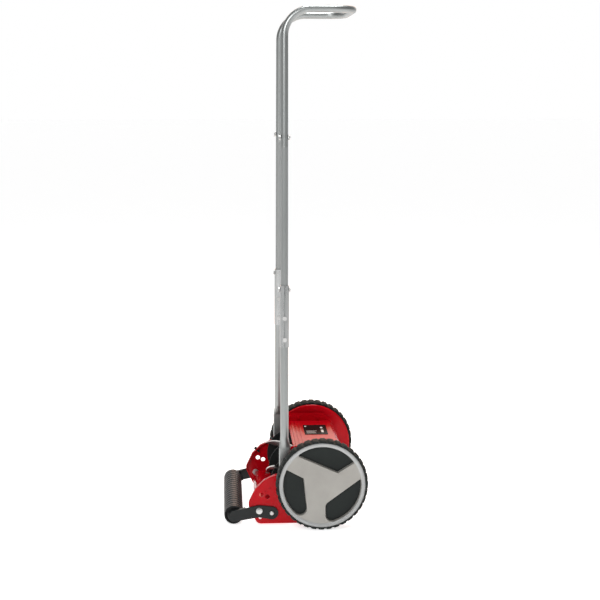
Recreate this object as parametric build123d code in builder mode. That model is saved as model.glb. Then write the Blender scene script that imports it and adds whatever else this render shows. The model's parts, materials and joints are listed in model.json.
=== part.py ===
from build123d import *
import math
import os

# Push reel mower, millimetres. +X is the mowing direction, +Y the operator's left, +Z up.
# The origin is on the ground under the middle of the machine. Everything on the right side
# (-Y) is drawn by its distance outboard from the middle, and the left side is its mirror image.

# ---- wheels and drive ----
AXLE_X = 60.0
AXLE_Z = 108.0
TYRE_R = 108.0
TYRE_SEAT_R = 101.0
TYRE_LUGS = 36
TYRE_INNER = 186.0
TYRE_OUTER = 222.0
TYRE_MIDDLE = (TYRE_INNER + TYRE_OUTER) / 2
GROOVE_R = 6.2
GROOVE_CENTRE_R = TYRE_R + 3.2
AXLE_R = 6.0
GEAR_MODULE = 2.0
RING_TEETH = 70
PINION_TEETH = 14
PRESSURE_ANGLE = math.radians(25)
BACKLASH = 0.12
REEL_ANGLE = math.radians(193.3)
RING_PITCH_R = GEAR_MODULE * RING_TEETH / 2
PINION_PITCH_R = GEAR_MODULE * PINION_TEETH / 2
RING_OUTER_R = RING_PITCH_R + 8
WEB_INNER = 206.0
WEB_OUTER = 209.0
RIM_RIBS = 12
RIM_INNER_R = 97.5
RIM_RIB_LENGTH = RIM_INNER_R - RING_OUTER_R
RIM_RIB_MIDDLE = (RIM_INNER_R + RING_OUTER_R) / 2
COVER_FACE = 218.0

# ---- reel ----
CENTRE_DISTANCE = RING_PITCH_R - PINION_PITCH_R
REEL_X = AXLE_X + CENTRE_DISTANCE * math.cos(REEL_ANGLE)
REEL_Z = AXLE_Z + CENTRE_DISTANCE * math.sin(REEL_ANGLE)
REEL_R = 70.0
REEL_HALF = 149.0
BLADES = 5
BLADE_DEPTH = 20.0
BLADE_T = 3.0
BLADE_TWIST = -92.0
BLADE_START = -70.0
SHAFT_R = 6.0
SPIDER_PLACES = (-128.0, 0.0, 128.0)
SPIDER_T = 2.5
SPIDER_R = REEL_R - 8
BEARING_R = 14.0
BEARING_START = 157.0
BEARING_END = 165.0
BEARING_BALLS = 8

# ---- side plates, gear covers and top cover ----
PLATE_IN = 166.0
PLATE_OUT = 168.5
FLANGE = 10.0
COVER_IN = 179.0
COVER_SHEET = 2.0
COVER_R = 100.0
POSTS = ((92.0, 160.0), (105.0, 100.0), (38.0, 30.0))
BAG_HOLES = ((-79.5, 73.0), (-66.0, 68.0))
BAG_HOLE_R = 5.5
DIMPLES = ((-70.0, 84.0), (-59.5, 89.5))
DIMPLE_R = 3.2
TOP_Z = 170.0
TOP_REAR = -1.5
TOP_FRONT = 117.0
TOP_SCREWS_X = (26.0, 76.0)
TOP_SCREW_Z = 178.0

# ---- rear roller and its arms ----
ARM_X = -56.0
ARM_Z = 29.4
LOCK_RADIUS = 30.0
LOCK_ANGLE = 169.3
ARM_SWING = 36.0
ARM_IN = 169.0
ARM_OUT = 172.5
ROLLER_X = -145.5
ROLLER_Z = 22.5
ROLLER_R = 22.5
ROLLER_HALF = 152.0
CAP_OUT = 160.0
ROLLER_AXLE_R = 4.0
RUN = 0.05

# ---- bed knife ----
KNIFE_EDGE_X = -8.2
KNIFE_Z = 23.2
KNIFE_T = 3.0
KNIFE_DEPTH = 35.0
EAR_BOLT = (-20.0, 37.0)
KNIFE_SCREW_X = -33.0

# ---- handle ----
PIVOT_X = -25.0
PIVOT_Z = 104.0
PIVOT_R = 4.0
STOP_X = -8.3
STOP_Z = 176.0
EYE_R = 13.5
EYE_IN = 169.5
EYE_OUT = 174.5
FLAT_TOP = 186.0
ROUND_FROM = 212.0
LOW_TUBE_R = 9.5
LOW_BORE_R = 8.5
TUBE_R = 8.5
TUBE_BORE_R = 7.3
LEG_LOW = Vector(-25.6, -168, 210)
LEG_HIGH = Vector(-22, -130, 1138)
LOW_TUBE_TOP = 548.0
SLEEVE_LOW = 425.0
SLEEVE_HIGH = 568.0
SLEEVE_R = 11.0
SLEEVE_SLIT = 2.4
SEAM_Z = 886.0
SPIGOT_LENGTH = 48.0
SEAM_BOLT_Z = 908.0
SLEEVE_BOLT_Z = 559.0
SLEEVE_SCREWS_Z = (443.0, 493.0)
GRIP_Z = 1197.5
GRIP_X = 137.5
BEND_R = 60.0
GRIP_CORNER_R = 45.0

os.makedirs("parts", exist_ok=True)


# ---- shared shapes ----
def right_plane(outboard):
    """Plane facing the operator's right at this distance from the middle; local x is X, y is Z."""
    return Plane.XZ.offset(outboard)


def disc(x, z, radius, start, end, mode=Mode.ADD):
    """Round boss or hole along Y, from `start` to `end` outboard."""
    with BuildSketch(right_plane(start)) as face:
        with Locations((x, z)):
            Circle(radius)
    extrude(face.sketch, amount=end - start, mode=mode)


def hexagon(x, z, across_flats, start, end, mode=Mode.ADD):
    """Hexagon head or nut along Y, from `start` to `end` outboard."""
    with BuildSketch(right_plane(start)) as face:
        with Locations((x, z)):
            RegularPolygon(across_flats / 2, 6, major_radius=False)
    extrude(face.sketch, amount=end - start, mode=mode)


def slab(points, radii, start, end, mode=Mode.ADD):
    """Plate with a rounded outline in X and Z, from `start` to `end` outboard."""
    with BuildSketch(right_plane(start)) as face:
        with BuildLine():
            FilletPolyline(*points, radius=radii, close=True)
        make_face()
    extrude(face.sketch, amount=end - start, mode=mode)


def block(low, high, mode=Mode.ADD):
    """Box between two corners."""
    size = [high[i] - low[i] for i in range(3)]
    with Locations(tuple((high[i] + low[i]) / 2 for i in range(3))):
        Box(*size, mode=mode)


def turned(x, z, points, mode=Mode.ADD):
    """Turned piece about an axis along Y; each point is (radius, distance outboard)."""
    section = Plane(origin=(x, 0, z), x_dir=(0, 0, 1), z_dir=(1, 0, 0))
    with BuildSketch(section) as half:
        with BuildLine():
            Polyline(*points, close=True)
        make_face()
    revolve(half.sketch, axis=Axis((x, 0, z), (0, 1, 0)), mode=mode)


def ring(x, z, outer, inner, start, end):
    """Plain ring along Y."""
    disc(x, z, outer, start, end)
    disc(x, z, inner, start - 1, end + 1, mode=Mode.SUBTRACT)


def both_sides(builder):
    """Adds the mirror image, so that the node holds the right and the left pieces."""
    add(mirror(builder.part, about=Plane.XZ, mode=Mode.PRIVATE))


def save(builder, name):
    builder.part.label = name
    export_step(builder.part, f"parts/{name}.step")


def save_pair(builder, name):
    """Writes the right piece and its mirror image for the left."""
    save(builder, f"{name}_right")
    with BuildPart() as left:
        mirror(builder.part, about=Plane.XZ)
    save(left, f"{name}_left")


# ---- bolts and screws that other pieces are drilled for ----
with BuildPart() as pivot_bolts:
    disc(PIVOT_X, PIVOT_Z, PIVOT_R, 160, 175)
    disc(PIVOT_X, PIVOT_Z, 8, 174.8, 177.6)
    fillet(pivot_bolts.edges().group_by(Axis.Y)[0], 2)
    hexagon(PIVOT_X, PIVOT_Z, 13, 161, PLATE_IN)
    disc(PIVOT_X, PIVOT_Z, 8, PLATE_OUT, EYE_IN - 0.1)
    both_sides(pivot_bolts)
save(pivot_bolts, "handle_pivot_bolts")

with BuildPart() as parking_stops:
    disc(STOP_X, STOP_Z, 3, 163, 175)
    disc(STOP_X, STOP_Z, 5, 163.5, PLATE_IN)
    both_sides(parking_stops)
save(parking_stops, "parking_stops")

with BuildPart() as arm_pivots:
    disc(ARM_X, ARM_Z, PIVOT_R, 161, 174)
    disc(ARM_X, ARM_Z, 5, ARM_OUT + 0.3, 175.4)
    fillet(arm_pivots.edges().group_by(Axis.Y)[0], 1.8)
    hexagon(ARM_X, ARM_Z, 12, 161.5, PLATE_IN)
    both_sides(arm_pivots)
save(arm_pivots, "arm_pivot_bolts")

LOCK_X = ARM_X + LOCK_RADIUS * math.cos(math.radians(LOCK_ANGLE))
LOCK_Z = ARM_Z + LOCK_RADIUS * math.sin(math.radians(LOCK_ANGLE))
with BuildPart() as lock_bolts:
    disc(LOCK_X, LOCK_Z, 3, 164, 180.5)
    disc(LOCK_X, LOCK_Z, 8, 163.4, PLATE_IN - 0.3)
    hexagon(LOCK_X, LOCK_Z, 11, ARM_OUT + 1.2, ARM_OUT + 6.5)
    disc(LOCK_X, LOCK_Z, 7.5, ARM_OUT, ARM_OUT + 1.2)
    both_sides(lock_bolts)
save(lock_bolts, "arm_lock_bolts")

with BuildPart() as top_screws:
    for screw_x in TOP_SCREWS_X:
        disc(screw_x, TOP_SCREW_Z, 2.5, 160, 170)
        disc(screw_x, TOP_SCREW_Z, 5, PLATE_OUT, 171)
        hexagon(screw_x, TOP_SCREW_Z, 8, 160.4, PLATE_IN - 2.1)
    both_sides(top_screws)
save(top_screws, "top_cover_screws")

with BuildPart() as ear_bolts:
    disc(*EAR_BOLT, 3, 160, 170)
    hexagon(*EAR_BOLT, 10, PLATE_OUT, 172)
    hexagon(*EAR_BOLT, 10, 157, 161.4)
    both_sides(ear_bolts)
save(ear_bolts, "bed_bar_bolts")

with BuildPart() as edge_screw:
    screw_plane = Plane(origin=(-84.0, 161, 98.0), z_dir=(-0.71, 0, 0.70))
    with BuildSketch(screw_plane.offset(-12)):
        Circle(2.5)
    extrude(amount=16)
    with BuildSketch(screw_plane.offset(0.9)):
        Circle(3.8)
    extrude(amount=4)
    fillet(edge_screw.edges().filter_by(GeomType.CIRCLE).sort_by(Axis.Z)[-1], 1.5)
save(edge_screw, "edge_screw")

with BuildPart() as wheel_axle:
    disc(AXLE_X, AXLE_Z, AXLE_R, 160, 215)
    disc(AXLE_X, AXLE_Z, 13, PLATE_OUT, COVER_IN)
    hexagon(AXLE_X, AXLE_Z, 19, 158, PLATE_IN)
save_pair(wheel_axle, "wheel_axle")

with BuildPart() as axle_clips:
    ring(AXLE_X, AXLE_Z, 9.5, AXLE_R, 213.1, 214.4)
    both_sides(axle_clips)
save(axle_clips, "axle_clips")

with BuildPart() as cover_posts:
    for post_x, post_z in POSTS:
        ring(post_x, post_z, 6, 2.5, PLATE_OUT, COVER_IN)
    both_sides(cover_posts)
save(cover_posts, "cover_posts")

with BuildPart() as cover_screws:
    for post_x, post_z in POSTS:
        disc(post_x, post_z, 2.5, 163, 182)
        disc(post_x, post_z, 5, COVER_IN + COVER_SHEET, 183.6)
        hexagon(post_x, post_z, 8, 162.6, PLATE_IN)
    both_sides(cover_screws)
save(cover_screws, "gear_cover_screws")

# ---- side plates: pressed steel with a turned-in rear edge ----
PLATE_CORNERS = [
    (-90, 2.5, 14),
    (24, 2.5, 40),
    (92, 40, 40),
    (116, 120, 40),
    (116, 168, 18),
    (88, 190, 22),
    (-12, 190, 8),
    (-22, 123, 12),
    (-46, 121, 18),
    (-73, 108.5, 12),
    (-94.5, 87, 24),
    (-112.5, 50, 20),
]
outline = [corner[:2] for corner in PLATE_CORNERS]
outline_radii = [corner[2] for corner in PLATE_CORNERS]


def plate_profile(inset):
    """The side plate's outline, moved inwards by `inset`."""
    with BuildSketch(right_plane(PLATE_IN - FLANGE)) as face:
        with BuildLine():
            FilletPolyline(*outline, radius=outline_radii, close=True)
        make_face()
        if inset:
            offset(amount=-inset, mode=Mode.REPLACE)
    return face.sketch


with BuildPart() as rear_flange:
    extrude(plate_profile(0), amount=FLANGE)
    extrude(plate_profile(2.5), amount=FLANGE, mode=Mode.SUBTRACT)
    block((-20, -200, -10), (200, -100, 250), mode=Mode.SUBTRACT)

with BuildPart() as side_plate:
    slab(outline, outline_radii, PLATE_IN, PLATE_OUT)
    add(rear_flange.part)
    rear_edges = side_plate.edges().group_by(Axis.Y)[0].filter_by_position(Axis.X, -200, -21)
    fillet(rear_edges, 2)
    for hole_x, hole_z in BAG_HOLES:
        disc(hole_x, hole_z, BAG_HOLE_R, 150, 170, mode=Mode.SUBTRACT)
    for dimple_x, dimple_z in DIMPLES:
        disc(dimple_x, dimple_z, DIMPLE_R, PLATE_OUT - 1.2, 170, mode=Mode.SUBTRACT)
    disc(REEL_X, REEL_Z, 10, 150, 170, mode=Mode.SUBTRACT)
    with BuildSketch(right_plane(160)) as lock_slot:
        with BuildLine() as slot_path:
            CenterArc((ARM_X, ARM_Z), LOCK_RADIUS, LOCK_ANGLE, ARM_SWING)
        SlotArc(slot_path.edges()[0], 6.6)
    extrude(lock_slot.sketch, amount=20, mode=Mode.SUBTRACT)
    fasteners = (pivot_bolts, parking_stops, arm_pivots, top_screws, ear_bolts)
    for fastener in fasteners + (wheel_axle, cover_screws):
        add(fastener.part, mode=Mode.SUBTRACT)
save(side_plate, "side_plate_right")

with BuildPart() as left_plate:
    mirror(side_plate.part, about=Plane.XZ)
    add(edge_screw.part, mode=Mode.SUBTRACT)
save(left_plate, "side_plate_left")

# ---- gear covers: dished discs between the side plates and the wheels ----
with BuildPart() as gear_cover:
    cover_out = COVER_IN + COVER_SHEET
    turned(
        AXLE_X,
        AXLE_Z,
        [
            (AXLE_R, COVER_IN),
            (COVER_R - 2, COVER_IN),
            (COVER_R, COVER_IN + 2),
            (COVER_R, 185.4),
            (COVER_R - 2, 185.4),
            (COVER_R - 2, cover_out),
            (AXLE_R, cover_out),
        ],
    )
    disc(REEL_X, REEL_Z, 8, 170, 190, mode=Mode.SUBTRACT)
    add(cover_screws.part, mode=Mode.SUBTRACT)
save_pair(gear_cover, "gear_cover")

# ---- top cover: folded sheet with end flanges and cross ribs ----
with BuildPart() as top_cover:
    half_width = PLATE_IN - 0.1
    with BuildSketch(right_plane(-half_width)):
        with BuildLine():
            fold = FilletPolyline(
                (TOP_REAR, TOP_Z + 5),
                (TOP_REAR + 0.5, TOP_Z - 1),
                (TOP_FRONT - 9, TOP_Z - 1),
                (TOP_FRONT - 1, TOP_Z - 12),
                (TOP_FRONT, TOP_Z - 45),
                radius=[2, 6, 8],
            )
            offset(fold, amount=1, side=Side.BOTH, kind=Kind.ARC)
        make_face()
    extrude(amount=2 * half_width)
    for rib in range(3):
        rib_x = TOP_REAR + 7 + 9 * rib
        block((rib_x, -150, TOP_Z - 1), (rib_x + 4, 150, TOP_Z + 3))
    for side in (-1, 1):
        flange_low = min(side * half_width, side * (half_width - 2))
        block(
            (TOP_REAR + 5, flange_low, TOP_Z - 1),
            (TOP_FRONT - 22, flange_low + 2, TOP_Z + 14),
        )
    add(top_screws.part, mode=Mode.SUBTRACT)
save(top_cover, "top_cover")

with BuildPart() as info_label:
    with BuildSketch(Plane.XY.offset(TOP_Z)):
        with Locations((63, 65)):
            RectangleRounded(58, 98, 3)
    extrude(amount=0.5)
save(info_label, "info_label")

# ---- bed knife and its bar ----
with BuildPart() as knife_screws:
    for screw_y in (-125, -75, -25, 25, 75, 125):
        with BuildSketch(Plane.XY.offset(KNIFE_Z)):
            with Locations((KNIFE_SCREW_X, screw_y)):
                Circle(5)
        with BuildSketch(Plane.XY.offset(KNIFE_Z + 2)):
            with Locations((KNIFE_SCREW_X, screw_y)):
                Circle(2.6)
        loft()
        with BuildSketch(Plane.XY.offset(KNIFE_Z + 2)):
            with Locations((KNIFE_SCREW_X, screw_y)):
                Circle(2.5)
        extrude(amount=6)
save(knife_screws, "bed_knife_screws")

with BuildPart() as bed_knife:
    with BuildSketch(right_plane(-150)):
        with BuildLine():
            Polyline(
                (KNIFE_EDGE_X, KNIFE_Z + KNIFE_T),
                (KNIFE_EDGE_X - KNIFE_DEPTH, KNIFE_Z + KNIFE_T),
                (KNIFE_EDGE_X - KNIFE_DEPTH, KNIFE_Z),
                (KNIFE_EDGE_X - 2.5, KNIFE_Z),
                close=True,
            )
        make_face()
    extrude(amount=300)
    add(knife_screws.part, mode=Mode.SUBTRACT)
save(bed_knife, "bed_knife")

with BuildPart() as bed_bar:
    bar_low = KNIFE_Z + KNIFE_T
    with BuildSketch(right_plane(-160)):
        with BuildLine():
            bar_line = FilletPolyline(
                (-21, bar_low + 1.5),
                (-47, bar_low + 1.5),
                (-64, 34),
                (-84, 38.5),
                (-91, 22),
                radius=[10, 9, 7],
            )
            offset(bar_line, amount=1.5, side=Side.BOTH, kind=Kind.ARC)
        make_face()
    extrude(amount=320)
    for side in (-1, 1):
        ear_low = min(side * 161.4, side * PLATE_IN)
        block((-30, ear_low, bar_low), (-12, ear_low + PLATE_IN - 161.4, 46))
        gusset_low = min(side * 150, side * 162)
        block((-30, gusset_low, bar_low), (-23, gusset_low + 12, bar_low + 4))
    add(knife_screws.part, mode=Mode.SUBTRACT)
    add(ear_bolts.part, mode=Mode.SUBTRACT)
save(bed_bar, "bed_bar")

# ---- reel bearings ----
with BuildPart() as bearing_housing:
    turned(
        REEL_X,
        REEL_Z,
        [
            (BEARING_R, BEARING_START),
            (18, BEARING_START),
            (18, 162.5),
            (22, 163.5),
            (22, PLATE_IN),
            (10, PLATE_IN),
            (10, BEARING_END),
            (BEARING_R, BEARING_END),
        ],
    )
    both_sides(bearing_housing)
save(bearing_housing, "bearing_housings")

with BuildPart() as reel_bearing:
    ring(REEL_X, REEL_Z, BEARING_R, 11.6, BEARING_START, BEARING_END)
    with BuildPart(mode=Mode.PRIVATE) as inner_ring:
        ring(REEL_X, REEL_Z, 8.4, SHAFT_R + 0.03, BEARING_START, BEARING_END)
    add(inner_ring.part)
    for ball in range(BEARING_BALLS):
        angle = 2 * math.pi * ball / BEARING_BALLS
        ball_x = REEL_X + 10 * math.cos(angle)
        ball_z = REEL_Z + 10 * math.sin(angle)
        with Locations((ball_x, -(BEARING_START + BEARING_END) / 2, ball_z)):
            Sphere(1.45)
    both_sides(reel_bearing)
save(reel_bearing, "reel_bearings")

# ---- reel: shaft, twisted blades and the notched discs that carry them ----
reel_start = Plane(origin=(REEL_X, -REEL_HALF, REEL_Z), x_dir=(1, 0, 0), z_dir=(0, 1, 0))
blades = []
for number in range(BLADES):
    with BuildSketch(reel_start, mode=Mode.PRIVATE) as blade_section:
        blade_angle = BLADE_START + 360 / BLADES * number
        with PolarLocations(REEL_R - BLADE_DEPTH / 2 - 0.12, 1, start_angle=blade_angle):
            Rectangle(BLADE_DEPTH, BLADE_T)
    with BuildPart() as blade:
        add(
            Solid.extrude_linear_with_rotation(
                blade_section.sketch.faces()[0],
                center=(REEL_X, -REEL_HALF, REEL_Z),
                normal=(0, 2 * REEL_HALF, 0),
                angle=BLADE_TWIST,
            )
        )
    save(blade, f"reel_blade_{number + 1}")
    blades.append(blade)

for number, spider_y in enumerate(SPIDER_PLACES):
    spider_plane = reel_start.offset(REEL_HALF + spider_y - SPIDER_T / 2)
    with BuildPart() as spider:
        with BuildSketch(spider_plane):
            Circle(SPIDER_R)
            Circle(8, mode=Mode.SUBTRACT)
        extrude(amount=SPIDER_T)
        with BuildSketch(spider_plane.offset(-4)):
            Circle(12)
            Circle(8, mode=Mode.SUBTRACT)
        extrude(amount=SPIDER_T + 8)
        for blade in blades:
            add(blade.part, mode=Mode.SUBTRACT)
    save(spider, f"reel_spider_{number + 1}")

PAWL_IN = 198.6
PAWL_OUT = 201.6
with BuildPart() as reel_shaft:
    turned(
        REEL_X,
        REEL_Z,
        [(0, -202.5), (5, -202.5), (SHAFT_R, -201.5), (SHAFT_R, -156.8), (8, -156.8)]
        + [(8, 156.8), (SHAFT_R, 156.8), (SHAFT_R, 201.5), (5, 202.5), (0, 202.5)],
    )
    for side in (-1, 1):
        slot_low = min(side * PAWL_IN, side * PAWL_OUT)
        block(
            (REEL_X - 10, slot_low, REEL_Z - 2),
            (REEL_X + 10, slot_low + PAWL_OUT - PAWL_IN, REEL_Z + 2),
            mode=Mode.SUBTRACT,
        )
save(reel_shaft, "reel_shaft")

with BuildPart() as drive_pawls:
    for side in (-1, 1):
        slot_low = min(side * PAWL_IN, side * PAWL_OUT)
        block(
            (REEL_X - 7.8, slot_low, REEL_Z - 2),
            (REEL_X + 7.8, slot_low + PAWL_OUT - PAWL_IN, REEL_Z + 2),
        )
save(drive_pawls, "drive_pawls")


# ---- gears ----
def gear_points(teeth, tip_r, root_r, width):
    """Outline of an involute gear; `width` is the tooth's width on the pitch circle."""
    pitch_r = GEAR_MODULE * teeth / 2
    base_r = pitch_r * math.cos(PRESSURE_ANGLE)
    at_pitch = width / (2 * pitch_r) + math.tan(PRESSURE_ANGLE) - PRESSURE_ANGLE

    def half_angle(radius):
        if radius <= base_r:
            return at_pitch
        flank = math.acos(base_r / radius)
        return at_pitch - (math.tan(flank) - flank)

    steps = 4
    radii = [root_r + (tip_r - root_r) * step / steps for step in range(steps + 1)]
    points = []
    for tooth in range(teeth):
        middle = REEL_ANGLE + 2 * math.pi * tooth / teeth
        flanks = [(r, middle - half_angle(r)) for r in radii]
        flanks += [(r, middle + half_angle(r)) for r in reversed(radii)]
        points += [(r * math.cos(a), r * math.sin(a)) for r, a in flanks]
    return points


def gear_face(x, z, outboard, points):
    """Face with a gear's outline, on the right side's plane."""
    with BuildSketch(right_plane(outboard)) as face:
        with BuildLine():
            Polyline(*[(x + px, z + pz) for px, pz in points], close=True)
        make_face()
    return face.sketch


half_pitch = math.pi * GEAR_MODULE / 2
with BuildPart() as ring_gear:
    ring_spaces = gear_points(RING_TEETH, RING_PITCH_R + 2, RING_PITCH_R - 1.5, half_pitch + BACKLASH)
    disc(AXLE_X, AXLE_Z, RING_OUTER_R, 189, WEB_INNER)
    extrude(gear_face(AXLE_X, AXLE_Z, 189, ring_spaces), amount=20, mode=Mode.SUBTRACT)
save_pair(ring_gear, "ring_gear")

with BuildPart() as pinion:
    pinion_teeth = gear_points(
        PINION_TEETH, PINION_PITCH_R + 1.5, PINION_PITCH_R - 2, half_pitch - BACKLASH
    )
    extrude(gear_face(REEL_X, REEL_Z, 190, pinion_teeth), amount=12.4)
    disc(REEL_X, REEL_Z, 11, 186.5, 190)
    disc(REEL_X, REEL_Z, SHAFT_R + RUN, 180, 210, mode=Mode.SUBTRACT)
    disc(REEL_X, REEL_Z, 8.6, 198.4, 210, mode=Mode.SUBTRACT)
    for notch in range(3):
        angle = math.radians(120 * notch)
        notch_x = REEL_X + 8.6 * math.cos(angle)
        notch_z = REEL_Z + 8.6 * math.sin(angle)
        disc(notch_x, notch_z, 1.6, 198.4, 210, mode=Mode.SUBTRACT)
save_pair(pinion, "pinion")

# ---- wheels ----
with BuildPart() as wheel_bush:
    ring(AXLE_X, AXLE_Z, 9, AXLE_R + RUN, 186.5, 213)
save_pair(wheel_bush, "wheel_bush")

with BuildPart() as wheel_rim:
    turned(
        AXLE_X,
        AXLE_Z,
        [
            (9, 186.5),
            (13, 186.5),
            (14.5, WEB_INNER),
            (94, WEB_INNER),
            (RIM_INNER_R, 202),
            (RIM_INNER_R, 187.5),
            (TYRE_SEAT_R, 187.5),
            (TYRE_SEAT_R, 217),
            (94, 217),
            (94, WEB_OUTER),
            (13.5, WEB_OUTER),
            (12.5, 213),
            (9, 213),
        ],
    )
    for rib in range(RIM_RIBS):
        with BuildSketch(right_plane(189)) as rib_face:
            with Locations((AXLE_X, AXLE_Z)):
                with PolarLocations(RIM_RIB_MIDDLE, 1, start_angle=360 / RIM_RIBS * rib):
                    Rectangle(RIM_RIB_LENGTH, 2)
        extrude(rib_face.sketch, amount=WEB_INNER - 189)
save_pair(wheel_rim, "wheel_rim")

WINDOW_R = 91.5
WINDOW_START = 35.0
WINDOW_SPAN = 94.5
WINDOW_INNER_R = 46.0
WINDOW_INNER_TURN = 3.5
WINDOW_DRAFT = 10.0


def polar(radius, degrees):
    """Point on the wheel's face."""
    angle = math.radians(degrees)
    return (AXLE_X + radius * math.cos(angle), AXLE_Z + radius * math.sin(angle))


def window_face(outboard, grow):
    """The three openings between the spokes; `grow` widens them."""
    with BuildSketch(right_plane(outboard)) as face:
        for window in range(3):
            low = WINDOW_START + 120 * window
            high = low + WINDOW_SPAN
            with BuildLine():
                ThreePointArc(
                    polar(WINDOW_R, low), polar(WINDOW_R, (low + high) / 2), polar(WINDOW_R, high)
                )
                Line(polar(WINDOW_R, high), polar(WINDOW_INNER_R, low + WINDOW_INNER_TURN))
                Line(polar(WINDOW_INNER_R, low + WINDOW_INNER_TURN), polar(WINDOW_R, low))
            make_face()
        inner = face.vertices().sort_by_distance((AXLE_X, -outboard, AXLE_Z))[:3]
        fillet(inner, 16)
        outer = face.vertices().sort_by_distance((AXLE_X, -outboard, AXLE_Z))[6:]
        fillet(outer, 3)
        if grow:
            offset(amount=grow, mode=Mode.REPLACE)
    return face.sketch


with BuildPart() as wheel_cover:
    turned(
        AXLE_X,
        AXLE_Z,
        [
            (0, WEB_OUTER + 0.2),
            (93.8, WEB_OUTER + 0.2),
            (93.8, 217.1),
            (TYRE_SEAT_R, 217.1),
            (TYRE_SEAT_R, 218.6),
            (TYRE_SEAT_R - 2.5, 219.6),
            (WINDOW_R + 2, 219.2),
            (WINDOW_R, COVER_FACE),
            (0, COVER_FACE),
        ],
    )
    window_base = window_face(WEB_OUTER + 0.2, -1.5)
    extrude(window_base, amount=12, taper=-WINDOW_DRAFT, mode=Mode.SUBTRACT)
    with BuildPart(mode=Mode.PRIVATE) as hollow:
        disc(AXLE_X, AXLE_Z, WINDOW_R - 4, WEB_OUTER, COVER_FACE - 2.5)
        extrude(window_face(WEB_OUTER, 5.5), amount=COVER_FACE, mode=Mode.SUBTRACT)
    add(hollow.part, mode=Mode.SUBTRACT)
save_pair(wheel_cover, "wheel_cover")

with BuildPart() as tyre:
    turned(
        AXLE_X,
        AXLE_Z,
        [
            (TYRE_SEAT_R, TYRE_INNER),
            (103.5, TYRE_INNER),
            (106.2, 190),
            (107.6, 197),
            (TYRE_R, TYRE_MIDDLE),
            (107.6, 211),
            (106.2, 218),
            (103.5, TYRE_OUTER),
            (TYRE_SEAT_R + 0.5, TYRE_OUTER - 0.5),
            (TYRE_SEAT_R, 219.8),
        ],
    )
    with BuildSketch(right_plane(TYRE_INNER - 2)) as grooves:
        with Locations((AXLE_X, AXLE_Z)):
            for lug in range(TYRE_LUGS):
                with PolarLocations(GROOVE_CENTRE_R, 1, start_angle=360 / TYRE_LUGS * (lug + 0.5)):
                    Circle(GROOVE_R)
    extrude(grooves.sketch, amount=TYRE_OUTER - TYRE_INNER + 4, mode=Mode.SUBTRACT)
save_pair(tyre, "tyre")

# ---- rear roller and arms ----
with BuildPart() as roller_axle:
    disc(ROLLER_X, ROLLER_Z, ROLLER_AXLE_R, -ARM_IN, ARM_IN)
save(roller_axle, "roller_axle")

with BuildPart() as roller_shell:
    ring(ROLLER_X, ROLLER_Z, ROLLER_R, ROLLER_R - 3, -ROLLER_HALF, ROLLER_HALF)
save(roller_shell, "roller_shell")

with BuildPart() as roller_cap:
    turned(
        ROLLER_X,
        ROLLER_Z,
        [
            (ROLLER_AXLE_R + RUN, 142),
            (ROLLER_R - 3, 142),
            (ROLLER_R - 3, ROLLER_HALF),
            (ROLLER_R - 0.3, ROLLER_HALF),
            (ROLLER_R - 0.3, CAP_OUT - 1.5),
            (ROLLER_R - 1.8, CAP_OUT),
            (ROLLER_R - 4, CAP_OUT),
            (ROLLER_R - 6, CAP_OUT - 4),
            (9, CAP_OUT - 4),
            (8, CAP_OUT),
            (ROLLER_AXLE_R + RUN, CAP_OUT),
        ],
    )
save_pair(roller_cap, "roller_cap")


def arm_face(outboard, shrink):
    """Outline of a roller arm: an eye at the roller and a longer foot along the plate."""
    with BuildSketch(right_plane(outboard)) as face:
        for low, high in (
            ((ARM_X, ARM_Z, 15.5), (LOCK_X, LOCK_Z - 1, 14.5)),
            ((LOCK_X, LOCK_Z - 1, 14.5), (ROLLER_X, ROLLER_Z, 13)),
        ):
            with BuildSketch(right_plane(outboard), mode=Mode.PRIVATE) as ends:
                for eye_x, eye_z, eye_r in (low, high):
                    with Locations((eye_x, eye_z)):
                        Circle(eye_r - shrink)
                make_hull()
            add(ends.sketch_local)
    return face.sketch


with BuildPart() as roller_arm:
    extrude(arm_face(ARM_IN, 0), amount=ARM_OUT - ARM_IN)
    with BuildPart(mode=Mode.PRIVATE) as rim:
        extrude(arm_face(CAP_OUT + 1, 0), amount=ARM_IN - CAP_OUT - 1)
        extrude(arm_face(CAP_OUT + 1, 3), amount=ARM_IN - CAP_OUT - 1, mode=Mode.SUBTRACT)
        disc(ARM_X, ARM_Z, 63, 150, 180, mode=Mode.SUBTRACT)
    add(rim.part)
    fillet(roller_arm.faces().sort_by(Axis.Y)[0].outer_wire().edges(), 1.2)
    disc(ROLLER_X, ROLLER_Z, 8, CAP_OUT + 0.4, ARM_IN)
    disc(ROLLER_X, ROLLER_Z, ROLLER_AXLE_R, 150, ARM_IN, mode=Mode.SUBTRACT)
    disc(ARM_X, ARM_Z, PIVOT_R + RUN, 150, 180, mode=Mode.SUBTRACT)
    disc(LOCK_X, LOCK_Z, 3, 150, 180, mode=Mode.SUBTRACT)
save_pair(roller_arm, "roller_arm")


# ---- handle ----
def leg_point(z):
    """Point on the centre line of the right handle leg at this height."""
    return LEG_LOW + (LEG_HIGH - LEG_LOW) * ((z - LEG_LOW.Z) / (LEG_HIGH.Z - LEG_LOW.Z))


def straight_tube(low_z, high_z, outer, inner):
    """Straight stretch of the right leg's tube between two heights."""
    low = leg_point(low_z)
    run = leg_point(high_z) - low
    with BuildSketch(Plane(origin=low, x_dir=(1, 0, 0), z_dir=run)) as section:
        Circle(outer)
        if inner:
            Circle(inner, mode=Mode.SUBTRACT)
    extrude(section.sketch, amount=run.length)


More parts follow.
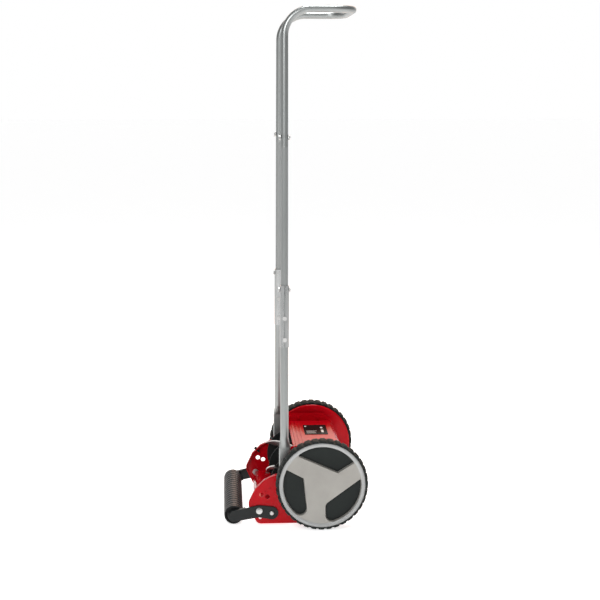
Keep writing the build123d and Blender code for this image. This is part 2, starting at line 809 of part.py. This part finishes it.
def cross_bolt(z, direction, half_length, shank_r, head_r, head_t):
    """Bolt through the right leg, with a head at each end."""
    middle = leg_point(z)
    axis_plane = Plane(origin=middle, z_dir=direction)
    with BuildSketch(axis_plane.offset(-half_length)) as shank:
        Circle(shank_r)
    extrude(shank.sketch, amount=2 * half_length)
    with BuildSketch(axis_plane.offset(half_length)) as head:
        Circle(head_r)
    extrude(head.sketch, amount=head_t)
    with BuildSketch(axis_plane.offset(-half_length)) as nut:
        RegularPolygon(head_r * 0.92, 6, major_radius=False)
    extrude(nut.sketch, amount=-head_t)


with BuildPart() as sleeve_screws:
    for screw_z in SLEEVE_SCREWS_Z:
        cross_bolt(screw_z, (0, -1, 0), SLEEVE_R, 2.5, 5, 2.5)
    both_sides(sleeve_screws)
save(sleeve_screws, "sleeve_screws")

with BuildPart() as joint_bolts:
    cross_bolt(SLEEVE_BOLT_Z, (1, 0, 0), SLEEVE_R, 2.5, 5, 3)
    cross_bolt(SEAM_BOLT_Z, (1, 0, 0), TUBE_R, 2.5, 5.5, 4.5)
    both_sides(joint_bolts)
save(joint_bolts, "joint_bolts")


def section_edges(half_x, half_y, flat):
    """Four-edged section: two end arcs joined by two arcs, or by two straight runs if flat."""
    right_low, right_high = (half_x, -half_y), (half_x, half_y)
    left_high, left_low = (-half_x, half_y), (-half_x, -half_y)
    reach = half_x + half_y if flat else math.hypot(half_x, half_y)
    ThreePointArc(right_low, (reach, 0), right_high)
    if flat:
        Line(right_high, left_high)
    else:
        ThreePointArc(right_high, (0, reach), left_high)
    ThreePointArc(left_high, (-reach, 0), left_low)
    if flat:
        Line(left_low, right_low)
    else:
        ThreePointArc(left_low, (0, -reach), right_low)


flat_half = (EYE_OUT - EYE_IN) / 2
flat_y = -(EYE_IN + EYE_OUT) / 2
flat_plane = Plane(origin=(PIVOT_X, flat_y, FLAT_TOP), x_dir=(1, 0, 0), z_dir=(0, 0, 1))
round_plane = Plane(origin=leg_point(ROUND_FROM), x_dir=(1, 0, 0), z_dir=LEG_HIGH - LEG_LOW)
with BuildPart() as lower_tube:
    straight_tube(ROUND_FROM, LOW_TUBE_TOP, LOW_TUBE_R, LOW_BORE_R)
    with BuildSketch(flat_plane):
        with BuildLine():
            section_edges(EYE_R - flat_half, flat_half, flat=True)
        make_face()
    with BuildSketch(round_plane):
        with BuildLine():
            section_edges(LOW_TUBE_R * math.sqrt(0.5), LOW_TUBE_R * math.sqrt(0.5), flat=False)
        make_face()
    loft()
    with BuildSketch(flat_plane):
        with BuildLine():
            section_edges(EYE_R - flat_half, flat_half, flat=True)
        make_face()
    extrude(amount=-(FLAT_TOP - PIVOT_Z))
    disc(PIVOT_X, PIVOT_Z, EYE_R, EYE_IN, EYE_OUT)
    disc(PIVOT_X, PIVOT_Z, PIVOT_R + RUN, 150, 200, mode=Mode.SUBTRACT)
    add(sleeve_screws.part, mode=Mode.SUBTRACT)
save_pair(lower_tube, "lower_tube")

with BuildPart() as sleeve:
    straight_tube(SLEEVE_LOW, SLEEVE_HIGH, SLEEVE_R, LOW_TUBE_R)
    slit_low = leg_point(SLEEVE_LOW)
    slit_run = leg_point(SLEEVE_HIGH) - slit_low
    with BuildSketch(Plane(origin=slit_low, x_dir=(1, 0, 0), z_dir=slit_run)) as slit:
        with Locations((0, -SLEEVE_R)):
            Rectangle(SLEEVE_SLIT, SLEEVE_R)
    extrude(slit.sketch, amount=slit_run.length, mode=Mode.SUBTRACT)
    add(sleeve_screws.part, mode=Mode.SUBTRACT)
    add(joint_bolts.part, mode=Mode.SUBTRACT)
save_pair(sleeve, "sleeve")

with BuildPart() as middle_tube:
    straight_tube(SLEEVE_LOW + 5, SEAM_Z, TUBE_R, TUBE_BORE_R)
    straight_tube(SEAM_Z - 30, SEAM_Z + SPIGOT_LENGTH, TUBE_BORE_R, TUBE_BORE_R - 1.2)
    add(sleeve_screws.part, mode=Mode.SUBTRACT)
    add(joint_bolts.part, mode=Mode.SUBTRACT)
save_pair(middle_tube, "middle_tube")

with BuildPart() as upper_handle:
    with BuildLine() as grip_line:
        seam = leg_point(SEAM_Z)
        bend = leg_point(GRIP_Z)
        corner = Vector(GRIP_X, bend.Y, GRIP_Z)
        FilletPolyline(
            seam,
            bend,
            corner,
            (corner.X, -corner.Y, corner.Z),
            (bend.X, -bend.Y, bend.Z),
            (seam.X, -seam.Y, seam.Z),
            radius=[BEND_R, GRIP_CORNER_R, GRIP_CORNER_R, BEND_R],
        )
    start_plane = Plane(origin=seam, x_dir=(1, 0, 0), z_dir=grip_line.line % 0)
    with BuildSketch(start_plane):
        Circle(TUBE_R)
        Circle(TUBE_BORE_R, mode=Mode.SUBTRACT)
    sweep()
    add(joint_bolts.part, mode=Mode.SUBTRACT)
save(upper_handle, "upper_handle")
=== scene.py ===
import json
import math

import bmesh
import bpy
from mathutils import Matrix, Vector


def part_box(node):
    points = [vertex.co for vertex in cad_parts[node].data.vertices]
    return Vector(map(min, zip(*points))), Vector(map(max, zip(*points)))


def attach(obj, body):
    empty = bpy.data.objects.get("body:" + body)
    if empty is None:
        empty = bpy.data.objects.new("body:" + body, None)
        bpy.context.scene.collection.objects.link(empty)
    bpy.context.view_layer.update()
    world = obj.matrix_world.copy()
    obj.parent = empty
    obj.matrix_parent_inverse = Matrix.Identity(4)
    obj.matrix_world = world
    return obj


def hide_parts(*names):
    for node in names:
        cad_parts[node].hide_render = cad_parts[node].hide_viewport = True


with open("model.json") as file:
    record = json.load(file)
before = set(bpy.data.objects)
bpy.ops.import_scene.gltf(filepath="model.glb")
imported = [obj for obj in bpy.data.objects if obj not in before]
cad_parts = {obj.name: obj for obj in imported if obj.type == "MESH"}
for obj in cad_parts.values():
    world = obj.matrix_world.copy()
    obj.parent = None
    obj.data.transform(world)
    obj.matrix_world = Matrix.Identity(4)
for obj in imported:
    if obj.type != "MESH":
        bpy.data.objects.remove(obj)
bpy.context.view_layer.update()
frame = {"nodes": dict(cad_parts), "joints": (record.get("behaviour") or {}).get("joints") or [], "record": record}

NODES = frame["nodes"]
MM = 0.001
SIDES = ("right", "left")
JOINTS = {joint["name"]: joint for joint in frame["joints"]}
AXLE_X, _, AXLE_Z = JOINTS["wheel_right_spin"]["pos_m"]
REEL_X, _, REEL_Z = JOINTS["reel_spin"]["pos_m"]
COVER_BAND_R = 91.5 * MM
GROUND_EDGE = 1.0 * MM
WHITE = (1, 1, 1)


def linked(name, data):
    """New object with this data, linked to the scene."""
    made = bpy.data.objects.new(name, data)
    bpy.context.scene.collection.objects.link(made)
    return made


def mesh_object(name, bm):
    """New object from a bmesh, which is freed."""
    mesh = bpy.data.meshes.new(name)
    bm.to_mesh(mesh)
    bm.free()
    return linked(name, mesh)


# ---------------------------------------------------------------- materials
# Places of a Mix node's colour sockets: it has a set of sockets for each kind of data.
MIX_FACTOR, MIX_FIRST, MIX_SECOND, MIX_RESULT = 0, 6, 7, 2


class Shader:
    """A node material: a Principled shader and short helpers to build what feeds it."""

    def __init__(self, name):
        self.material = bpy.data.materials.new(name)
        self.material.use_nodes = True
        self.tree = self.material.node_tree
        self.bsdf = self.tree.nodes["Principled BSDF"]
        self.place = self.node("ShaderNodeTexCoord").outputs["Object"]

    def node(self, kind, **settings):
        made = self.tree.nodes.new(kind)
        for key, value in settings.items():
            if key in made.inputs:
                made.inputs[key].default_value = value
            else:
                setattr(made, key, value)
        return made

    def link(self, source, target):
        self.tree.links.new(source, target)

    def set(self, **values):
        for key, value in values.items():
            self.bsdf.inputs[key.replace("_", " ")].default_value = value

    def stretched(self, scale):
        """Object coordinates, scaled differently along X, Y and Z."""
        mapping = self.node("ShaderNodeMapping", Scale=scale)
        self.link(self.place, mapping.inputs["Vector"])
        return mapping.outputs["Vector"]

    def noise(self, scale, detail=4.0, roughness=0.55, vector=None):
        made = self.node("ShaderNodeTexNoise", Scale=scale, Detail=detail, Roughness=roughness)
        self.link(vector or self.place, made.inputs["Vector"])
        return made.outputs["Fac"]

    def ramp(self, source, stops):
        """Colour ramp between two stops, each (place, value or colour)."""
        made = self.node("ShaderNodeValToRGB")
        for element, (place, value) in zip(made.color_ramp.elements, stops, strict=True):
            element.position = place
            colour = (value, value, value) if isinstance(value, (int, float)) else value
            element.color = (*colour[:3], 1)
        self.link(source, made.inputs["Fac"])
        return made.outputs["Color"]

    def span(self, source, low, high):
        """Maps a 0 to 1 value to a range."""
        made = self.node("ShaderNodeMapRange")
        made.inputs["To Min"].default_value = low
        made.inputs["To Max"].default_value = high
        self.link(source, made.inputs["Value"])
        return made.outputs["Result"]

    def mix(self, factor, first, second, blend="MIX"):
        """Mixes two colours; each is a colour or a socket."""
        made = self.node("ShaderNodeMix", data_type="RGBA", blend_type=blend)
        for value, index in ((factor, MIX_FACTOR), (first, MIX_FIRST), (second, MIX_SECOND)):
            socket = made.inputs[index]
            if isinstance(value, bpy.types.NodeSocket):
                self.link(value, socket)
            elif isinstance(value, (int, float)):
                socket.default_value = value
            else:
                socket.default_value = (*value[:3], 1)
        return made.outputs[MIX_RESULT]

    def bump(self, height, strength, distance):
        made = self.node("ShaderNodeBump", Strength=strength, Distance=distance)
        self.link(height, made.inputs["Height"])
        self.link(made.outputs["Normal"], self.bsdf.inputs["Normal"])

    def colour(self, source):
        self.link(source, self.bsdf.inputs["Base Color"])

    def rough(self, source):
        self.link(source, self.bsdf.inputs["Roughness"])


def tinted(colour, factor):
    return tuple(min(1.0, c * factor) for c in colour)


def red_paint():
    """Glossy enamel: slight cloudiness, orange peel, dust in the gloss and a clear coat."""
    s = Shader("red_paint")
    cloud = s.noise(14, 3)
    s.colour(s.ramp(cloud, [(0.3, (0.40, 0.0008, 0.005)), (0.7, (0.52, 0.002, 0.009))]))
    s.rough(s.span(s.noise(60, 5), 0.15, 0.24))
    s.bump(s.noise(420, 2), 0.035, 0.0004)
    s.set(Coat_Weight=0.08, Coat_Roughness=0.06, Specular_IOR_Level=0.10)
    return s.material


def plain_metal(name, base, low, high, scale=(1, 1, 1), bump=0.12, metallic=0.9):
    """Metal with fine streaks, drawn out along the axis whose scale is small."""
    s = Shader(name)
    streaks = s.noise(300, 4, 0.6, s.stretched(scale))
    cloud = s.noise(20, 3)
    tone = s.ramp(cloud, [(0.3, tinted(base, 0.9)), (0.7, tinted(base, 1.06))])
    fine = s.ramp(streaks, [(0.35, 0.88), (0.65, 1.0)])
    s.colour(s.mix(1.0, tone, fine, "MULTIPLY"))
    s.rough(s.span(streaks, low, high))
    s.bump(streaks, bump, 0.0003)
    s.set(Metallic=metallic)
    return s.material


def silver_tube(name, tone, metallic):
    """Silver lacquered steel tube: fine metallic flake under a satin coat."""
    s = Shader(name)
    flake = s.noise(2600, 2, 0.7)
    cloud = s.noise(6, 4, vector=s.stretched((4, 4, 0.6)))
    darker, lighter = tinted((0.36, 0.38, 0.375), tone), tinted((0.43, 0.45, 0.445), tone)
    base = s.ramp(cloud, [(0.3, darker), (0.7, lighter)])
    s.colour(s.mix(s.span(flake, 0.0, 0.2), base, (0.50, 0.51, 0.51)))
    s.rough(s.span(s.noise(90, 5), 0.32, 0.44))
    s.bump(s.noise(900, 2), 0.06, 0.0003)
    s.set(Metallic=metallic, Coat_Weight=0.2, Coat_Roughness=0.2)
    return s.material


def distance_mask(shader, centre_x, centre_z, radius):
    """1 beyond this distance from an axis along Y, and 0 inside it."""
    across = shader.node("ShaderNodeVectorMath", operation="MULTIPLY")
    across.inputs[1].default_value = (1, 0, 1)
    shader.link(shader.place, across.inputs[0])
    arm = shader.node("ShaderNodeVectorMath", operation="DISTANCE")
    arm.inputs[1].default_value = (centre_x, 0, centre_z)
    shader.link(across.outputs["Vector"], arm.inputs[0])
    outside = shader.node("ShaderNodeMath", operation="GREATER_THAN")
    outside.inputs[1].default_value = radius
    shader.link(arm.outputs["Value"], outside.inputs[0])
    return outside.outputs["Value"]


def reel_paint(edge_from):
    """Black paint on the reel, ground off to bright steel at the blades' outer edges."""
    s = Shader("ground_blade")
    ground = distance_mask(s, REEL_X, REEL_Z, edge_from)
    cloud = s.noise(30, 4)
    paint_tone = s.ramp(cloud, [(0.3, (0.008, 0.009, 0.009)), (0.7, (0.015, 0.016, 0.016))])
    steel = s.ramp(s.noise(400, 3), [(0.3, (0.52, 0.52, 0.50)), (0.7, (0.72, 0.72, 0.70))])
    s.colour(s.mix(ground, paint_tone, steel))
    s.link(ground, s.bsdf.inputs["Metallic"])
    s.rough(s.span(s.noise(80, 4), 0.30, 0.46))
    s.bump(s.noise(600, 2), 0.08, 0.0003)
    return s.material


def moulded(name, base, low, high, grain=900, depth=0.18):
    """Moulded plastic or rubber: a little tone variation and a spark-eroded grain."""
    s = Shader(name)
    cloud = s.noise(18, 4)
    s.colour(s.ramp(cloud, [(0.3, tinted(base, 0.85)), (0.7, tinted(base, 1.15))]))
    s.rough(s.span(s.noise(70, 5), low, high))
    s.bump(s.noise(grain, 3), depth, 0.0004)
    s.set(Specular_IOR_Level=0.22)
    return s.material


def wheel_plastic():
    """Silver-grey plastic: warm satin spokes inside a cooler, brighter band at the rim."""
    s = Shader("cover_plastic")
    cloud = s.noise(18, 4)
    spokes = s.ramp(cloud, [(0.3, (0.315, 0.303, 0.279)), (0.7, (0.365, 0.353, 0.326))])
    band = s.ramp(cloud, [(0.3, (0.370, 0.377, 0.374)), (0.7, (0.420, 0.427, 0.424))])
    s.colour(s.mix(distance_mask(s, AXLE_X, AXLE_Z, COVER_BAND_R), spokes, band))
    s.rough(s.span(s.noise(70, 5), 0.34, 0.46))
    s.bump(s.noise(1100, 3), 0.08, 0.0003)
    s.set(Metallic=0.1, Specular_IOR_Level=0.45)
    return s.material


def tyre_rubber():
    """Matt rubber with a faint dusty bloom in random patches."""
    s = Shader("tyre_rubber")
    bloom = s.ramp(s.noise(45, 6, 0.65), [(0.42, 0.0), (0.75, 1.0)])
    dark, dusty = (0.010, 0.013, 0.012), (0.026, 0.029, 0.027)
    s.colour(s.mix(bloom, dark, dusty))
    s.rough(s.span(s.noise(120, 4), 0.55, 0.78))
    s.bump(s.noise(700, 4), 0.25, 0.0005)
    s.set(Specular_IOR_Level=0.2)
    return s.material


def gloss_film():
    """Dark printed film, low in gloss so that it stays black at a glancing angle."""
    s = Shader("label")
    cloud = s.noise(40, 3)
    s.colour(s.ramp(cloud, [(0.3, (0.006, 0.007, 0.007)), (0.7, (0.011, 0.012, 0.012))]))
    s.rough(s.span(s.noise(300, 2), 0.10, 0.16))
    s.set(Specular_IOR_Level=0.01)
    return s.material


MATERIALS = {
    "red_paint": red_paint(),
    "zinc": plain_metal("zinc", (0.60, 0.60, 0.59), 0.22, 0.38),
    "silver_tube": silver_tube("silver_tube", 0.76, 0.85),
    "sleeve_steel": plain_metal("sleeve_steel", (0.44, 0.45, 0.45), 0.22, 0.34, (1, 1, 0.05)),
    "black_paint": moulded("black_paint", (0.012, 0.014, 0.014), 0.26, 0.40, 600, 0.08),
    "knife_steel": plain_metal("knife_steel", (0.56, 0.56, 0.56), 0.22, 0.42, (1, 0.05, 1)),
    "axle_steel": plain_metal("axle_steel", (0.50, 0.50, 0.50), 0.22, 0.40, (0.1, 1, 0.1)),
    "bearing_steel": plain_metal("bearing_steel", (0.70, 0.70, 0.71), 0.10, 0.22),
    "gear_steel": plain_metal("gear_steel", (0.30, 0.30, 0.31), 0.35, 0.55),
    "cast_black": moulded("cast_black", (0.030, 0.030, 0.032), 0.45, 0.6, 500, 0.3),
    "gear_plastic": moulded("gear_plastic", (0.035, 0.035, 0.038), 0.40, 0.55),
    "rim_plastic": moulded("rim_plastic", (0.010, 0.0135, 0.0125), 0.42, 0.56),
    "cover_plastic": wheel_plastic(),
    "black_plastic": moulded("black_plastic", (0.012, 0.013, 0.013), 0.35, 0.5),
    "roller_plastic": moulded("roller_plastic", (0.034, 0.034, 0.034), 0.38, 0.52),
    "tyre_rubber": tyre_rubber(),
    "bush_bronze": plain_metal("bush_bronze", (0.55, 0.36, 0.16), 0.3, 0.45),
    "label": gloss_film(),
}


def paint(obj, slot):
    obj.data.materials.clear()
    obj.data.materials.append(MATERIALS[slot])


for part in frame["record"]["subparts"]:
    paint(NODES[part["node"]], part["material_slot"])

REEL_R = max(
    math.hypot(v.co.x - REEL_X, v.co.z - REEL_Z) for v in NODES["reel_blade_1"].data.vertices
)
MATERIALS["ground_blade"] = reel_paint(REEL_R - GROUND_EDGE)
MATERIALS["grey_tube"] = silver_tube("grey_tube", 0.64, 0.35)
for node_name, node in NODES.items():
    if node_name.startswith("reel_blade"):
        paint(node, "ground_blade")
    if node_name.startswith("middle_tube"):
        paint(node, "grey_tube")


# ---------------------------------------------------------------- edges of the CAD parts
WELD_GAP = 0.01 * MM
BEVEL_FROM_DEG = 35
# Pressed, moulded and turned parts get a small rounded edge that catches the light: the start of
# the node's name and the width in mm.
ROUNDED = {
    "wheel_cover": 0.7, "wheel_rim": 0.5, "top_cover": 0.4, "bed_bar": 0.4, "roller_arm": 0.4,
    "roller_cap": 0.5, "reel_blade": 0.3, "reel_spider": 0.3, "side_plate": 0.4, "gear_cover": 0.4,
    "arm_lock_bolts": 0.4, "joint_bolts": 0.4, "sleeve_screws": 0.4, "bed_knife": 0.2,
}


def soften(obj, width):
    weld = obj.modifiers.new("weld", "WELD")
    weld.merge_threshold = WELD_GAP
    bevel = obj.modifiers.new("rounded", "BEVEL")
    bevel.width = width * MM
    bevel.segments = 2
    bevel.limit_method = "ANGLE"
    bevel.angle_limit = math.radians(BEVEL_FROM_DEG)
    bevel.harden_normals = True


for node_name, node in NODES.items():
    for start, width in ROUNDED.items():
        if node_name.startswith(start):
            soften(node, width)


# ---------------------------------------------------------------- turned pieces
def smooth_step(low, high, value):
    """0 below low, 1 above high, and a smooth rise between them."""
    t = min(1.0, max(0.0, (value - low) / (high - low)))
    return t * t * (3 - 2 * t)


def turned_mesh(name, centre, rows, steps):
    """Closed ring about an axis along Y.

    rows(turn) gives the section's loop at this part of a turn, as (radius, place along Y) pairs,
    and steps is the number of sections round the ring.
    """
    bm = bmesh.new()
    loops = []
    for step in range(steps):
        turn = step / steps
        angle = 2 * math.pi * turn
        loop = [
            bm.verts.new(
                (centre[0] + r * math.cos(angle), centre[1] + y, centre[2] + r * math.sin(angle))
            )
            for r, y in rows(turn)
        ]
        loops.append(loop)
    count = len(loops[0])
    for step in range(steps):
        here, following = loops[step], loops[(step + 1) % steps]
        for i in range(count):
            j = (i + 1) % count
            bm.faces.new((here[i], here[j], following[j], following[i]))
    bmesh.ops.recalc_face_normals(bm, faces=bm.faces)
    for face in bm.faces:
        face.smooth = True
    return mesh_object(name, bm)


# ---------------------------------------------------------------- tyres with a lugged tread
TYRE_LUGS = 36
STEPS_PER_LUG = 14
GROOVE_DEPTH = 3.6 * MM
# Distance from a groove's middle, as a share of the lug pitch: its flat bottom, then its top edge.
GROOVE_FLANK = (0.10, 0.21)
CHEVRON = 0.13
# Section of the tyre from one bead to the other: share of the half width, depth below the crown
# in mm, and how much of the groove's depth is cut there.
TYRE_SECTION = [
    (-0.90, 7.0, 0.0),
    (-1.00, 6.2, 0.0),
    (-1.00, 4.6, 0.1),
    (-0.96, 3.4, 0.5),
    (-0.88, 2.4, 0.9),
    (-0.78, 1.7, 1.0),
    (-0.64, 1.2, 1.0),
    (-0.48, 0.7, 1.0),
    (-0.32, 0.35, 0.95),
    (-0.16, 0.1, 0.85),
    (-0.05, 0.0, 0.75),
]


def lugged_tyre(side):
    """Tyre whose blocks meet in a shallow chevron, cut deeper towards the shoulders."""
    low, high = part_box(f"tyre_{side}")
    centre = (low + high) / 2
    crown = (high.x - low.x) / 2
    half_width = (high.y - low.y) / 2
    section = TYRE_SECTION + [(-place, drop, cut) for place, drop, cut in reversed(TYRE_SECTION)]

    def rows(turn):
        points = []
        for place, drop, cut in section:
            lug = (turn * TYRE_LUGS + CHEVRON * abs(place)) % 1.0
            groove = 1 - smooth_step(*GROOVE_FLANK, abs(lug - 0.5))
            depth = drop * MM + groove * cut * GROOVE_DEPTH
            points.append((crown - depth, place * half_width))
        return points

    piece = turned_mesh(f"tyre_tread_{side}", centre, rows, TYRE_LUGS * STEPS_PER_LUG)
    paint(piece, "tyre_rubber")
    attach(piece, f"wheel_{side}")
    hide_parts(f"tyre_{side}")


for side_name in SIDES:
    lugged_tyre(side_name)


# ---------------------------------------------------------------- ribbed rear roller
ROLLER_RIBS = 17
STEPS_PER_RIB = 12
STEPS_ROUND_ROLLER = 96
RIB_GROOVE = 2.2 * MM
# Distance from a rib's crest, as a share of the rib pitch: where it starts to fall, and where the
# groove is deepest. The roller's ends fall by a share of the groove's depth.
RIB_FLANK = (0.26, 0.48)
END_FALL = 0.35
ROLLER_WALL = 3.0 * MM


def ribbed_roller():
    """Moulded roller sleeve: rounded bands round it with narrow grooves between them."""
    low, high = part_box("roller_shell")
    centre = (low + high) / 2
    crest = (high.x - low.x) / 2
    half_length = (high.y - low.y) / 2
    total = ROLLER_RIBS * STEPS_PER_RIB
    outside = []
    for step in range(total + 1):
        along = step / STEPS_PER_RIB
        from_crest = abs(along % 1.0 - 0.5)
        groove = smooth_step(*RIB_FLANK, from_crest)
        end = step in (0, total)
        depth = RIB_GROOVE * (END_FALL if end else groove)
        outside.append((crest - depth, half_length * (2 * step / total - 1)))
    bore = crest - ROLLER_WALL
    loop = outside + [(bore, half_length), (bore, -half_length)]
    piece = turned_mesh("roller_sleeve", centre, lambda turn: loop, STEPS_ROUND_ROLLER)
    paint(piece, "roller_plastic")
    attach(piece, "roller")
    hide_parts("roller_shell")


ribbed_roller()


# ---------------------------------------------------------------- plain marks on the label
MARK_HEIGHT = 0.15 * MM
MARK_CORNER = 1.2 * MM
# Plain shapes, as shares of the label along X and Y: middle, half size.
LABEL_MARKS = [
    ((0.10, 0.86), (0.04, 0.05)),
    ((0.32, 0.36), (0.24, 0.012)),
    ((0.28, 0.26), (0.20, 0.012)),
    ((0.30, 0.16), (0.22, 0.012)),
    ((0.78, 0.70), (0.05, 0.08)),
    ((0.79, 0.34), (0.05, 0.13)),
]


def label_marks():
    """Pale blank panels and bars printed on the dark label."""
    low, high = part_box("info_label")
    size = high - low
    bm = bmesh.new()
    for (across, along), (half_x, half_y) in LABEL_MARKS:
        middle = (low.x + across * size.x, low.y + along * size.y, high.z + MARK_HEIGHT / 2)
        scale = (2 * half_x * size.x, 2 * half_y * size.y, MARK_HEIGHT)
        matrix = Matrix.Translation(middle) @ Matrix.Diagonal((*scale, 1))
        bmesh.ops.create_cube(bm, size=1, matrix=matrix)
    upright = [e for e in bm.edges if abs(e.verts[0].co.z - e.verts[1].co.z) > MARK_HEIGHT / 2]
    bmesh.ops.bevel(bm, geom=upright, offset=MARK_CORNER, segments=4, affect="EDGES")
    piece = mesh_object("label_marks", bm)
    paint(piece, "ink")
    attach(piece, "chassis")


MATERIALS["ink"] = moulded("ink", (0.62, 0.63, 0.62), 0.3, 0.4, 900, 0.02)
label_marks()


# ---------------------------------------------------------------- floor, light and camera
CAMERA_AT = (-0.167, -3.235, 0.997)
CAMERA_YAW = 3.32
CAMERA_PITCH = -8.53
SENSOR = 36.0
FOCAL = 80.76
# Name, place and aim in m, size in m, power in W, and colour. The warm one gives the top cover its
# salmon sheen.
LIGHTS = [
    ("key", (-1.0, -2.8, 2.2), (0, 0, 0.4), 1.1, 45, WHITE),
    ("top", (0.2, 0.2, 3.2), (0, 0, 0.2), 1.2, 56, WHITE),
    ("warm_back", (0.3, 2.9, 1.9), (0, 0, 0.2), 1.8, 24, (1.0, 0.50, 0.26)),
]
# Share of a direction that points along +Y, and the world's strength at either end of that span.
WORLD_FADE = (0.35, 0.92)
WORLD_STRENGTH = (0.16, 1.0)
FLOOR_HALF = 60.0
FLOOR_GLOW = 0.72

camera_data = bpy.data.cameras.new("camera")
camera_data.sensor_width = SENSOR
camera_data.lens = FOCAL
camera = linked("camera", camera_data)
camera.location = CAMERA_AT
camera.rotation_euler = (math.radians(90 + CAMERA_PITCH), 0, -math.radians(CAMERA_YAW))
bpy.context.scene.camera = camera


def area_light(name, place, aim, size, power, colour):
    data = bpy.data.lights.new(name, "AREA")
    data.shape = "DISK"
    data.size = size
    data.energy = power
    data.color = colour
    lamp = linked(name, data)
    lamp.location = place
    lamp.rotation_euler = (Vector(aim) - Vector(place)).to_track_quat("-Z", "Y").to_euler()


for light in LIGHTS:
    area_light(*light)


def studio_world():
    """White surroundings behind the object, falling off to grey round the rest of the studio."""
    world = bpy.data.worlds.new("studio")
    world.use_nodes = True
    tree = world.node_tree
    background = tree.nodes["Background"]
    direction = tree.nodes.new("ShaderNodeTexCoord").outputs["Generated"]
    axes = tree.nodes.new("ShaderNodeSeparateXYZ")
    tree.links.new(direction, axes.inputs[0])
    spread = tree.nodes.new("ShaderNodeMapRange")
    spread.interpolation_type = "SMOOTHSTEP"
    for end, (low, high) in (("From", WORLD_FADE), ("To", WORLD_STRENGTH)):
        spread.inputs[f"{end} Min"].default_value = low
        spread.inputs[f"{end} Max"].default_value = high
    tree.links.new(axes.outputs["Y"], spread.inputs["Value"])
    tree.links.new(spread.outputs["Result"], background.inputs["Strength"])
    background.inputs["Color"].default_value = (*WHITE, 1)
    bpy.context.scene.world = world


studio_world()
bpy.context.scene.view_settings.view_transform = "Standard"


def pale_floor():
    """Large plain floor, so pale that it runs into the white surroundings."""
    bm = bmesh.new()
    bmesh.ops.create_grid(bm, x_segments=4, y_segments=4, size=FLOOR_HALF)
    floor = mesh_object("floor", bm)
    s = Shader("floor")
    s.colour(s.ramp(s.noise(3, 3), [(0.3, (0.90, 0.90, 0.90)), (0.7, (0.93, 0.93, 0.93))]))
    s.set(Roughness=0.9, Specular_IOR_Level=0.2)
    s.set(Emission_Color=(*WHITE, 1), Emission_Strength=FLOOR_GLOW)
    floor.data.materials.append(s.material)


pale_floor()
